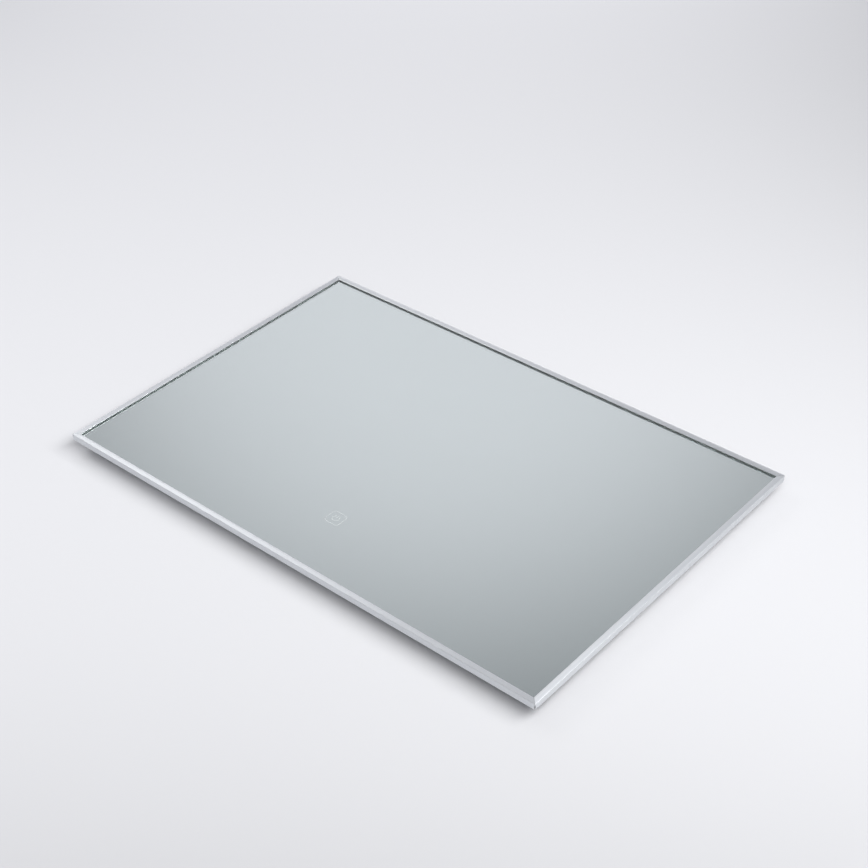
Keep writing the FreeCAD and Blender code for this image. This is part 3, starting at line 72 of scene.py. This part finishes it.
# ---------------------------------------------------------------- node helpers
class Tree:
    """A short way to write a node tree: each call adds a node, sets or links its inputs."""

    def __init__(self, owner, fresh=True):
        owner.use_nodes = True
        self.tree = owner.node_tree
        if fresh:
            self.tree.nodes.clear()

    def add(self, kind, settings=None, **inputs):
        node = self.tree.nodes.new(kind)
        for key, value in (settings or {}).items():
            setattr(node, key, value)
        for key, value in inputs.items():
            self.feed(self.socket(node, key), value)
        return node

    def socket(self, node, key):
        if key[0] == "i" and key[1:].isdigit():
            return node.inputs[int(key[1:])]
        return node.inputs[key.replace("_", " ")]

    def feed(self, socket, value):
        if isinstance(value, bpy.types.NodeSocket):
            self.tree.links.new(value, socket)
        else:
            socket.default_value = value

    def math(self, operation, *values, clamp=False):
        settings = {"operation": operation, "use_clamp": clamp}
        inputs = {f"i{index}": value for index, value in enumerate(values)}
        return self.add("ShaderNodeMath", settings, **inputs).outputs[0]

    def power(self, value, exponent):
        """A whole power, which holds below zero too."""
        result = 1.0
        for _ in range(exponent):
            result = self.math("MULTIPLY", result, value)
        return result

    def curve(self, value, *factors):
        """The first factor, plus the second times value, plus the third times its square."""
        result = 0.0
        for exponent, factor in enumerate(factors):
            term = self.math("MULTIPLY", self.power(value, exponent), factor)
            result = self.math("ADD", result, term)
        return result

    def vector(self, operation, *values):
        inputs = {f"i{index}": value for index, value in enumerate(values)}
        node = self.add("ShaderNodeVectorMath", {"operation": operation}, **inputs)
        scalar = operation in ("DOT_PRODUCT", "LENGTH", "DISTANCE")
        return node.outputs["Value" if scalar else "Vector"]

    def scaled(self, vector, factor):
        node = self.add("ShaderNodeVectorMath", {"operation": "SCALE"}, i0=vector)
        self.feed(node.inputs["Scale"], factor)
        return node.outputs["Vector"]

    def place(self):
        return self.add("ShaderNodeTexCoord").outputs["Object"]

    def noise(self, vector, scale, detail=2.0, roughness=0.5):
        node = self.add("ShaderNodeTexNoise", None, Vector=vector, Scale=scale, Detail=detail)
        node.inputs["Roughness"].default_value = roughness
        return node.outputs["Fac"]

    def cells(self, vector, scale, feature="F1"):
        node = self.add("ShaderNodeTexVoronoi", {"feature": feature}, Vector=vector, Scale=scale)
        return node.outputs["Distance"]

    def spread(self, value, low, high, start=0.0, end=1.0):
        node = self.add("ShaderNodeMapRange", None, Value=value)
        node.inputs["From Min"].default_value = start
        node.inputs["From Max"].default_value = end
        self.feed(node.inputs["To Min"], low)
        self.feed(node.inputs["To Max"], high)
        return node.outputs["Result"]

    def blend(self, factor, first, second):
        node = self.add("ShaderNodeMix", {"data_type": "RGBA"})
        self.feed(node.inputs["Factor"], factor)
        self.feed(node.inputs[6], first)
        self.feed(node.inputs[7], second)
        return node.outputs[2]

    def bump(self, height, distance, strength=1.0):
        node = self.add("ShaderNodeBump", None, Height=height, Distance=distance)
        node.inputs["Strength"].default_value = strength
        return node.outputs["Normal"]

    def output(self, kind, shader):
        self.add(kind, None, Surface=shader)


def rgb(colour):
    return (*colour, 1.0)


# ---------------------------------------------------------------- materials
PATTERN_DETAIL = 4.0
# The pattern's values lie mostly between these, so the gloss swings fully from one to the other.
PATTERN_LOW = 0.3
PATTERN_HIGH = 0.7


def finish(name, colour, roughness, metallic=0.0, grain=(1, 1, 1), scale=300.0, tone=0.05,
           rough_spread=0.05, relief=0.0, cells=False, **fixed):
    """A surface whose colour, gloss and relief vary with one procedural pattern.

    grain stretches the pattern, scale is its fineness per metre, tone is how far the colour
    swings to each side and relief is the height of the bumps in metres.
    """
    material = bpy.data.materials.new(name)
    tree = Tree(material)
    stretched = tree.vector("MULTIPLY", tree.place(), grain)
    pattern = tree.cells(stretched, scale) if cells else tree.noise(stretched, scale, PATTERN_DETAIL)
    dark = rgb([channel * (1 - tone) for channel in colour])
    light = rgb([min(1.0, channel * (1 + tone)) for channel in colour])
    shader = tree.add("ShaderNodeBsdfPrincipled")
    tree.feed(shader.inputs["Base Color"], tree.blend(pattern, dark, light))
    smooth = roughness - rough_spread
    rough = roughness + rough_spread
    gloss = tree.spread(pattern, smooth, rough, PATTERN_LOW, PATTERN_HIGH)
    tree.feed(shader.inputs["Roughness"], gloss)
    shader.inputs["Metallic"].default_value = metallic
    for key, value in fixed.items():
        shader.inputs[key.replace("_", " ")].default_value = value
    if relief:
        tree.feed(shader.inputs["Normal"], tree.bump(pattern, relief))
    tree.output("ShaderNodeOutputMaterial", shader.outputs[0])
    return material


ALUMINIUM = (0.905, 0.931, 0.955)
DRAWN_ROUGHNESS = 0.48
DRAWN_STRETCH = 0.67
ACROSS_THE_GRAIN = 0.25
GRAIN_SQUEEZE = 0.02
# Factors on the colour: painted shade on the sides, and a painted shadow on the mitre ends in the
# gaps.
PAINTED_SIDE_SHADE = 0.80
MITRE_GAP_SHADOW_TONE = 0.08
# Where the normal's Z passes from a side's to the face's, and where the product of its X and Y
# tells a mitre's end face, at 45 degrees, from the sides. The mitre ends are painted dark, a
# painted shadow in the gaps between the bars.
SIDE_TO_FACE = (0.3, 0.98)
SIDE_TO_MITRE_END = (0.2, 0.45)


def satin_aluminium(name, along):
    """Anodised extrusion: its fine lines run along the bar and spread the light across it."""
    squeeze = [GRAIN_SQUEEZE if part else 1.0 for part in along]
    material = finish(
        name, ALUMINIUM, DRAWN_ROUGHNESS, 1.0, squeeze, scale=420.0, tone=0.02,
        rough_spread=0.03, relief=2e-6,
        Anisotropic=DRAWN_STRETCH, Anisotropic_Rotation=ACROSS_THE_GRAIN,
    )
    tree = Tree(material, fresh=False)
    shader = material.node_tree.nodes["Principled BSDF"]
    x, y, z = along
    direction = tree.add("ShaderNodeCombineXYZ", None, X=x, Y=y, Z=z)
    tree.feed(shader.inputs["Tangent"], direction.outputs[0])
    paint_side_and_mitre_shade(tree, shader)
    return material


def paint_side_and_mitre_shade(tree, shader):
    """The face is brushed; the sides get painted shade, and the mitre ends a painted shadow in the
    gaps between the bars.
    """
    brushed = shader.inputs["Base Color"].links[0].from_socket
    roughness = shader.inputs["Roughness"].links[0].from_socket
    normal = tree.add("ShaderNodeNewGeometry").outputs["Normal"]
    parts = tree.add("ShaderNodeSeparateXYZ", None, Vector=normal).outputs
    # Painted shade: the sides' colour is scaled down as their normal tilts away from up.
    side = tree.spread(parts["Z"], PAINTED_SIDE_SHADE, 1.0, *SIDE_TO_FACE)
    slant = tree.math("ABSOLUTE", tree.math("MULTIPLY", parts["X"], parts["Y"]))
    # Painted shadow in the mitre gaps: the end faces turn dark, matt and not metallic.
    mitre_end_shade_mask = tree.spread(slant, 0.0, 1.0, *SIDE_TO_MITRE_END)
    tone = tree.math("MULTIPLY", side, tree.spread(mitre_end_shade_mask, 1.0, MITRE_GAP_SHADOW_TONE))
    tree.feed(shader.inputs["Base Color"], tree.scaled(brushed, tone))
    tree.feed(shader.inputs["Roughness"], tree.math("MAXIMUM", roughness, mitre_end_shade_mask))
    tree.feed(shader.inputs["Metallic"], tree.math("SUBTRACT", 1.0, mitre_end_shade_mask))


PANE_TINT = (0.90, 0.92, 0.91)
SYMBOL_WHITE = (0.57, 0.582, 0.59)


def mirror_layer():
    """The silver behind the pane, seen through faintly green glass."""
    return finish("silver_layer", (0.90, 0.965, 0.955), 0.0, 1.0, scale=6.0, tone=0.004,
                  rough_spread=0.0)


def pane_glass():
    """Clear float glass with a trace of green.

    Shadow rays and diffuse light pass straight through it, so that what lies under it is lit.
    """
    material = finish("clear_glass", (0.985, 0.997, 0.992), 0.0, scale=8.0, tone=0.002,
                      rough_spread=0.0, Transmission_Weight=1.0, IOR=1.5)
    tree = Tree(material, fresh=False)
    glass = material.node_tree.nodes["Principled BSDF"].outputs[0]
    ray = tree.add("ShaderNodeLightPath").outputs
    lighting = tree.math("MAXIMUM", ray["Is Shadow Ray"], ray["Is Diffuse Ray"])
    clear = tree.add("ShaderNodeBsdfTransparent", None, Color=rgb(PANE_TINT)).outputs[0]
    mix = tree.add("ShaderNodeMixShader", None, i0=lighting, i1=glass, i2=clear)
    tree.feed(material.node_tree.nodes["Material Output"].inputs["Surface"], mix.outputs[0])
    return material


def frosted_symbol():
    """The etched lines of the touch symbol: matt and pale, on the dark inside of the box."""
    return finish("frosted_symbol", SYMBOL_WHITE, 0.7, scale=2500.0, tone=0.04, relief=2e-6)


# The plain finishes, by the record's slot names.
PLAIN_FINISHES = {
    "backing_film": dict(colour=(0.42, 0.44, 0.46), roughness=0.45, scale=60.0),
    "white_foam_tape": dict(colour=(0.80, 0.80, 0.78), roughness=0.8, scale=1800.0, relief=6e-5,
                            cells=True),
    "grey_foam": dict(colour=(0.16, 0.165, 0.17), roughness=0.9, scale=1500.0, relief=9e-5,
                      cells=True),
    "zinc_plate": dict(colour=(0.66, 0.67, 0.69), roughness=0.32, metallic=1.0, scale=260.0,
                       tone=0.1, rough_spread=0.09, relief=5e-6),
    "coated_steel": dict(colour=(0.78, 0.79, 0.79), roughness=0.48, scale=1400.0, tone=0.02,
                         relief=1.2e-5),
    "black_rubber": dict(colour=(0.035, 0.035, 0.037), roughness=0.75, scale=900.0, tone=0.25,
                         relief=2e-5),
    "channel_aluminium": dict(colour=(0.78, 0.79, 0.81), roughness=0.35, metallic=1.0,
                              scale=400.0, tone=0.03, relief=4e-6),
    "strip_white": dict(colour=(0.84, 0.84, 0.82), roughness=0.4, scale=500.0, tone=0.02),
    "led_phosphor": dict(colour=(0.86, 0.70, 0.16), roughness=0.35, scale=2500.0, tone=0.08),
    "diffuser_opal": dict(colour=(0.90, 0.91, 0.90), roughness=0.35, scale=120.0, tone=0.01,
                          Subsurface_Weight=0.3),
    "cap_plastic": dict(colour=(0.62, 0.63, 0.65), roughness=0.5, scale=1200.0, relief=8e-6),
    "lead_white": dict(colour=(0.82, 0.82, 0.80), roughness=0.4, scale=500.0, tone=0.03,
                       relief=1e-5),
    "lead_brown": dict(colour=(0.20, 0.085, 0.035), roughness=0.4, scale=500.0, relief=1e-5),
    "lead_green": dict(colour=(0.10, 0.34, 0.06), roughness=0.4, scale=500.0, relief=1e-5),
    "driver_plastic": dict(colour=(0.80, 0.80, 0.78), roughness=0.55, scale=1600.0, tone=0.02,
                           relief=1.5e-5),
    "board_green": dict(colour=(0.03, 0.16, 0.07), roughness=0.35, scale=200.0, tone=0.25),
    "ferrite_yellow": dict(colour=(0.70, 0.52, 0.10), roughness=0.5, scale=900.0),
    "can_black": dict(colour=(0.04, 0.04, 0.05), roughness=0.35, scale=400.0, tone=0.2),
    "winding_copper": dict(colour=(0.78, 0.36, 0.16), roughness=0.3, metallic=1.0, scale=900.0),
    "terminal_plastic": dict(colour=(0.78, 0.77, 0.72), roughness=0.5, scale=900.0,
                             relief=8e-6),
    "terminal_brass": dict(colour=(0.78, 0.62, 0.30), roughness=0.3, metallic=1.0, scale=500.0),
    "sensor_black": dict(colour=(0.05, 0.05, 0.055), roughness=0.5, scale=1400.0, tone=0.2,
                         relief=1e-5),
    "clear_adhesive": dict(colour=(0.72, 0.73, 0.72), roughness=0.4, scale=700.0),
}


def make_materials():
    """One material for each slot of the record, by the slot's name."""
    materials = {
        "frame_aluminium": satin_aluminium("frame_aluminium", (1, 0, 0)),
        "frame_aluminium_stile": satin_aluminium("frame_aluminium_stile", (0, 1, 0)),
        "clear_glass": pane_glass(),
        "silver_layer": mirror_layer(),
        "frosted_symbol": frosted_symbol(),
    }
    for name, settings in PLAIN_FINISHES.items():
        materials[name] = finish(name, **settings)
    return materials


STILES = ("frame_left_stile", "frame_right_stile")


def assign_materials(materials):
    """Each CAD node gets the material of its slot; the stiles get theirs turned along the bar."""
    for name, node in nodes.items():
        for slot in node.material_slots:
            key = slot.material.name.split(".")[0]
            if name in STILES:
                key = "frame_aluminium_stile"
            slot.material = materials[key]


# ---------------------------------------------------------------- pieces
PANE_AIR = 0.04 * MM
PANE_ARRIS = 0.5 * MM
SHARP_ANGLE = 40.0
BEVEL_SEGMENTS = 2


def add_piece(name, build, materials, slot, replaced):
    """A mesh piece that stands for one CAD node and rides on the one body."""
    mesh = bpy.data.meshes.new(name)
    work = bmesh.new()
    build(work)
    bmesh.ops.recalc_face_normals(work, faces=work.faces)
    work.to_mesh(mesh)
    work.free()
    mesh.materials.append(materials[slot])
    mesh.polygons.foreach_set("use_smooth", [True] * len(mesh.polygons))
    mesh.set_sharp_from_angle(angle=math.radians(SHARP_ANGLE))
    piece = bpy.data.objects.new(name, mesh)
    scene.collection.objects.link(piece)
    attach(piece, "root")
    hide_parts(replaced)
    return piece


def build_pane(work):
    """The pane, a hair thinner than its groove, so that air lies between it and the silver."""
    low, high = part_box("mirror_glass")
    low = low + Vector((0, 0, PANE_AIR))
    high = high - Vector((0, 0, PANE_AIR))
    bmesh.ops.create_cube(work, size=1.0)
    for vertex in work.verts:
        for axis in range(3):
            vertex.co[axis] = high[axis] if vertex.co[axis] > 0 else low[axis]
    bmesh.ops.bevel(work, geom=work.edges[:], offset=PANE_ARRIS, segments=BEVEL_SEGMENTS,
                     affect="EDGES")


# How far the edges of each node are rounded, in mm. Each gets a copy with soft edges that
# stands where the node is.
SOFT_EDGES = {
    "back_cover": 0.22,
    "chassis_ring": 0.22,
    "cross_braces": 0.35,
    "hanger_plate_left": 0.3,
    "hanger_plate_right": 0.3,
    "wall_bumpers": 0.9,
    "cable_grommet": 0.3,
    "feed_grommet": 0.25,
    "led_channel_top": 0.18,
    "led_channel_bottom": 0.18,
    "led_channel_left": 0.18,
    "led_channel_right": 0.18,
    "led_diffuser_top": 0.5,
    "led_diffuser_bottom": 0.5,
    "led_diffuser_left": 0.5,
    "led_diffuser_right": 0.5,
    "channel_end_caps": 0.3,
    "driver_housing": 0.6,
    "driver_lid": 0.6,
    "driver_capacitors": 0.4,
    "terminal_block": 0.4,
    "mounting_nuts": 0.15,
    "touch_sensor_housing": 0.4,
}
WELD = 0.002 * MM
FLAT_ANGLE = 0.5
EDGE_ANGLE = 35.0


def node_slot(node):
    return node.material_slots[0].material.name.split(".")[0]


def soften(work, mesh, radius):
    """Fills work with the mesh, its flat facets joined and its corners rounded by radius."""
    work.from_mesh(mesh)
    bmesh.ops.remove_doubles(work, verts=work.verts, dist=WELD)
    bmesh.ops.dissolve_limit(
        work, angle_limit=math.radians(FLAT_ANGLE), verts=work.verts, edges=work.edges
    )
    sharp = [
        edge for edge in work.edges
        if len(edge.link_faces) == 2 and edge.calc_face_angle() > math.radians(EDGE_ANGLE)
    ]
    bmesh.ops.bevel(
        work, geom=sharp, offset=radius, segments=BEVEL_SEGMENTS, profile=0.5, affect="EDGES",
        clamp_overlap=False,
    )


def add_soft_copies(materials):
    for name, radius in SOFT_EDGES.items():
        node = nodes[name]
        add_piece(
            name + "_soft",
            lambda work: soften(work, node.data, radius * MM),
            materials,
            node_slot(node),
            name,
        )


# ---------------------------------------------------------------- studio
FLOOR_TINT = (0.988, 0.992, 1.019)
# Painted light and shade: the paper's tone along the middle line, from the mirror's centre to
# the back, and how much it rises for each metre to the right of that line. Both are curves of
# the way to the back.
PAINTED_LIGHT_TO_BACK = (0.61, 0.08, -0.04)
PAINTED_LIGHT_TO_RIGHT = (-0.14, 0.08, -0.14)
FLOOR_SPAN_X = (-1.95, 0.86)
FLOOR_SPAN_Y = (-0.86, 1.97)
FLOOR_RADIUS = 40.0
FLOOR_SIDES = 96
PAPER_GRAIN_SCALE = 90.0
PAPER_GRAIN = (0.995, 1.005)

# What is seen of the room past the lit floor. In reflections the backdrop reaches only this many
# degrees up, and each fade starts and ends this far out.
BACKDROP = (0.850, 0.858, 0.885)
BACKDROP_REACH = 7.0
BACKDROP_POWER = 4.0
FADE_RADIUS = (3.0, 5.0)
FADE_RIGHT = (0.95, 1.8)
FADE_FRONT = (0.95, 1.8)

KEY_BOX = {"place": (1.63, -0.45, 2.21), "size": (3.9, 1.22), "power": 134.0}
SIDE_BOX = {"place": (-1.64, -0.12, 1.96), "size": (1.3, 1.3), "power": 12.4}

SKY_BASE = (0.223, 0.226, 0.241)
HORIZON_COLOUR = (0.065, 0.066, 0.068)
HORIZON_WIDTH = 22.0
HORIZON_POWER = 4.0
WALL_GLOW = {"azimuth": 40.5, "elevation": 29.1, "width": 15.2, "power": 4.1,
             "colour": (0.488, 0.473, 0.501)}
FAR_WINDOW = {"azimuth": 5.4, "elevation": 58.5, "width": 15.0, "power": 4.0,
              "colour": (0.54, 0.545, 0.565)}
NEAR_WALL = {"azimuth": 216.0, "elevation": 35.0, "width": 14.0, "power": 3.0,
             "colour": (0.25, 0.25, 0.26)}


def toward(azimuth, elevation):
    """A direction: azimuth turns from +Y to -X, elevation rises from the floor."""
    turn = math.radians(azimuth)
    rise = math.radians(elevation)
    return (-math.sin(turn) * math.cos(rise), math.cos(turn) * math.cos(rise), math.sin(rise))


def fading(tree, angle, width, power):
    """1 at the middle, falling smoothly to 0 past width."""
    share = tree.math("DIVIDE", angle, width)
    return tree.math("EXPONENT", tree.math("MULTIPLY", tree.math("POWER", share, power), -1.0))


def glow(tree, direction, azimuth, elevation, width, power, colour):
    """A soft bright patch of the studio's wall or ceiling."""
    nearness = tree.vector("DOT_PRODUCT", direction, toward(azimuth, elevation))
    angle = tree.math("ARCCOSINE", tree.math("MINIMUM", nearness, 1.0))
    return tree.scaled(colour, fading(tree, angle, math.radians(width), power))


def seen_rays(tree):
    """Which rays see the backdrop: the camera's, and those that metal and glass send on."""
    ray = tree.add("ShaderNodeLightPath").outputs
    mirrored = tree.math("MAXIMUM", ray["Is Glossy Ray"], ray["Is Transmission Ray"])
    return ray["Is Camera Ray"], mirrored


def add_world():
    """A dim room: a pale band low down, glows on the far wall, overhead and behind the camera.

    The camera sees a plain pale backdrop instead, and metal and glass show its lowest part.
    """
    world = bpy.data.worlds.new("studio_world")
    scene.world = world
    tree = Tree(world)
    direction = tree.add("ShaderNodeTexCoord").outputs["Generated"]
    height = tree.add("ShaderNodeSeparateXYZ", None, Vector=direction).outputs["Z"]
    rise = tree.math("ABSOLUTE", tree.math("ARCSINE", height))
    low_band = fading(tree, rise, math.radians(HORIZON_WIDTH), HORIZON_POWER)
    band = tree.scaled(HORIZON_COLOUR, low_band)
    total = tree.vector("ADD", SKY_BASE, band)
    for patch in (WALL_GLOW, FAR_WINDOW, NEAR_WALL):
        total = tree.vector("ADD", total, glow(tree, direction, **patch))
    camera, mirrored = seen_rays(tree)
    reach = fading(tree, rise, math.radians(BACKDROP_REACH), BACKDROP_POWER)
    share = tree.math("MAXIMUM", camera, tree.math("MULTIPLY", mirrored, reach))
    shown = tree.blend(share, total, rgb(BACKDROP))
    background = tree.add("ShaderNodeBackground", None, Color=shown)
    tree.output("ShaderNodeOutputWorld", background.outputs[0])


def add_softbox(name, place, size, power):
    """A rectangular soft box that faces the middle of the floor, its first side level."""
    data = bpy.data.lights.new(name, "AREA")
    data.shape = "RECTANGLE"
    data.size, data.size_y = size
    data.energy = power
    lamp = bpy.data.objects.new(name, data)
    lamp.location = place
    lamp.rotation_euler = (-lamp.location).to_track_quat("-Z", "Y").to_euler()
    scene.collection.objects.link(lamp)


def add_floor():
    """A wide round floor of matt pale paper."""
    mesh = bpy.data.meshes.new("studio_floor")
    work = bmesh.new()
    bmesh.ops.create_circle(work, cap_ends=True, segments=FLOOR_SIDES, radius=FLOOR_RADIUS)
    work.to_mesh(mesh)
    work.free()
    floor = bpy.data.objects.new("studio_floor", mesh)
    mesh.materials.append(floor_material())
    scene.collection.objects.link(floor)


def floor_material():
    """Matt paper with painted light and shade in its colour, a little darker toward the key lamp.

    Far out, where no lamp reaches, it runs into the pale backdrop.
    """
    material = bpy.data.materials.new("studio_floor")
    tree = Tree(material)
    parts = tree.add("ShaderNodeSeparateXYZ", None, Vector=tree.place())
    x = tree.add("ShaderNodeClamp", None, Value=parts.outputs["X"])
    x.inputs["Min"].default_value, x.inputs["Max"].default_value = FLOOR_SPAN_X
    y = tree.add("ShaderNodeClamp", None, Value=parts.outputs["Y"])
    y.inputs["Min"].default_value, y.inputs["Max"].default_value = FLOOR_SPAN_Y
    # Painted light and shade: the paper's colour is scaled by a tone that changes over the floor.
    middle = tree.curve(y.outputs[0], *PAINTED_LIGHT_TO_BACK)
    slope = tree.curve(y.outputs[0], *PAINTED_LIGHT_TO_RIGHT)
    tone = tree.math("ADD", middle, tree.math("MULTIPLY", x.outputs[0], slope))
    grain = tree.spread(tree.noise(tree.place(), PAPER_GRAIN_SCALE, 3.0), *PAPER_GRAIN)
    colour = tree.scaled(FLOOR_TINT, tree.math("MULTIPLY", tone, grain))
    paper = tree.add("ShaderNodeBsdfDiffuse", None, Color=colour).outputs[0]
    glow_sheet = tree.add("ShaderNodeEmission", None, Color=rgb(BACKDROP)).outputs[0]
    fade = distance_fade(tree, parts.outputs["X"], parts.outputs["Y"])
    share = tree.math("MULTIPLY", fade, tree.math("MAXIMUM", *seen_rays(tree)))
    mix = tree.add("ShaderNodeMixShader", None, i0=share, i1=paper, i2=glow_sheet)
    tree.output("ShaderNodeOutputMaterial", mix.outputs[0])
    return material


def distance_fade(tree, x, y):
    """0 on the floor that the lamps light, 1 where it has run into the backdrop."""
    squares = tree.math("ADD", tree.power(x, 2), tree.power(y, 2))
    radius = tree.math("SQRT", squares)
    front = tree.math("MULTIPLY", y, -1.0)
    fade = 0.0
    for value, (start, end) in ((radius, FADE_RADIUS), (x, FADE_RIGHT), (front, FADE_FRONT)):
        step = tree.spread(value, 0.0, 1.0, start, end)
        fade = tree.math("MAXIMUM", fade, step)
    return fade


# ---------------------------------------------------------------- scene
add_camera()
scene.view_settings.view_transform = "Standard"
add_world()
add_softbox("key_softbox", **KEY_BOX)
add_softbox("side_softbox", **SIDE_BOX)
add_floor()
materials = make_materials()
add_soft_copies(materials)
add_piece("mirror_pane", build_pane, materials, "clear_glass", "mirror_glass")
assign_materials(materials)
